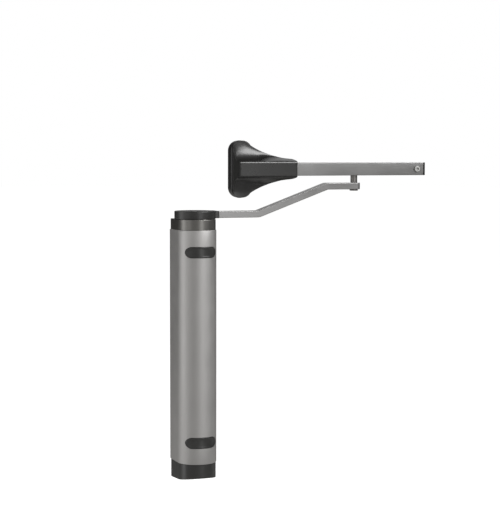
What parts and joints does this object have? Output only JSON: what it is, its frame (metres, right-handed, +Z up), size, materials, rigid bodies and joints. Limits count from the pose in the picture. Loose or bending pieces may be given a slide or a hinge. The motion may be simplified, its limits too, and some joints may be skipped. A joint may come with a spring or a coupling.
{
  "type": "gate opener arm",
  "caption": "Upright hydraulic gate closer for a post, with a cranked arm on its top spindle and a slider rail on a flared gate bracket.",
  "frame": {"origin": "on the closer's flat back face where it lies against the gate post, on its centre line, midway between its upper and lower fixing screws", "axes": "+X along the closed gate, from the post towards the rail's free end; +Y into the post, out of the closer's back face; +Z up along the spindle"},
  "size_m": [0.408, 0.07, 0.5119],
  "materials": {
    "anodised_aluminium": "satin clear anodised, fine lengthwise extrusion grain",
    "rail_aluminium": "satin anodised extrusion",
    "arm_steel": "satin, passivated",
    "zinc_plate": "bright zinc plate",
    "bright_steel": "ground",
    "spring_steel": "oil blackened spring steel",
    "cast_aluminium": "as cast, machined faces",
    "dark_collar": "satin dark anodised",
    "black_plastic": "satin moulded",
    "black_powder_coat": "semi-gloss black powder coat",
    "bronze": "sintered bronze",
    "rubber": "matt",
    "slider_plastic": "self-lubricating black plastic"
  },
  "bodies": {
    "closer": {"base_seal": "rubber", "body_tube": "anodised_aluminium", "bottom_cap": "black_plastic", "bottom_cap_screw_left": "bright_steel", "bottom_cap_screw_right": "bright_steel", "collar_screw_left": "bright_steel", "collar_screw_right": "bright_steel", "cylinder_head": "cast_aluminium", "guide_key_left": "bright_steel", "guide_key_right": "bright_steel", "head_seal": "rubber", "lower_end_block": "cast_aluminium", "lower_spring_seat": "bright_steel", "oil_cylinder": "bright_steel", "post_screw_lower_left": "zinc_plate", "post_screw_lower_right": "zinc_plate", "post_screw_upper_left": "zinc_plate", "post_screw_upper_right": "zinc_plate", "shaft_seal": "rubber", "slot_cover_lower": "black_plastic", "slot_cover_upper": "black_plastic", "spindle_bush": "bronze", "top_collar": "dark_collar", "upper_end_block": "cast_aluminium", "valve_block": "cast_aluminium"},
    "arm": {"spindle": "bright_steel", "thrust_washer": "bronze", "arm_hub": "black_plastic", "arm_bar": "arm_steel", "arm_screw_inner": "zinc_plate", "arm_screw_outer": "zinc_plate", "hub_washer": "zinc_plate", "hub_screw": "zinc_plate", "pivot_pin": "zinc_plate", "pin_clip": "spring_steel"},
    "piston": {"piston": "bright_steel", "upper_spring_seat": "bright_steel", "closing_spring": "spring_steel"},
    "slider": {"slider_block": "slider_plastic", "slider_bush": "bronze"},
    "rail": {"slide_rail": "rail_aluminium", "rail_end_cap": "black_plastic", "end_cap_screw": "zinc_plate", "rail_buffer": "rubber", "gate_bracket": "black_powder_coat", "bracket_cover": "black_powder_coat", "gate_screw_upper": "zinc_plate", "gate_screw_lower": "zinc_plate", "rail_clamp_screw_inner": "bright_steel", "rail_clamp_screw_outer": "bright_steel"},
    "closing_speed_valve": {"closing_speed_screw": "zinc_plate"},
    "latch_speed_valve": {"latch_speed_screw": "zinc_plate"}
  },
  "joints": [
    {"name": "arm_swing", "type": "hinge", "parent": "closer", "child": "arm", "pos_m": [0, -0.034, 0.1973], "axis": [0, 0, -1], "range_deg": [0, 180], "stiffness_Nm_per_rad": 3, "springref_deg": -114.59},
    {"name": "piston_slide", "type": "slide", "parent": "closer", "child": "piston", "axis": [0, 0, -1], "range_m": [0, 0.0361], "deforming": ["closing_spring"]},
    {"name": "slider_pivot", "type": "hinge", "parent": "arm", "child": "slider", "pos_m": [0.2594, -0.034, 0.265], "axis": [0, 0, 1], "range_deg": [-25, 25]},
    {"name": "rail_slide", "type": "slide", "parent": "slider", "child": "rail", "axis": [1, 0, 0], "range_m": [-0.06, 0.055]},
    {"name": "closing_speed_turn", "type": "hinge", "parent": "closer", "child": "closing_speed_valve", "pos_m": [-0.007, -0.034, -0.168], "axis": [0, 0, -1], "range_deg": [-180, 180]},
    {"name": "latch_speed_turn", "type": "hinge", "parent": "closer", "child": "latch_speed_valve", "pos_m": [0.007, -0.034, -0.168], "axis": [0, 0, -1], "range_deg": [-180, 180]}
  ],
  "couplings": [
    {"joint": "piston_slide", "follows": "arm_swing", "m_per_rad": 0.011459}
  ]
}
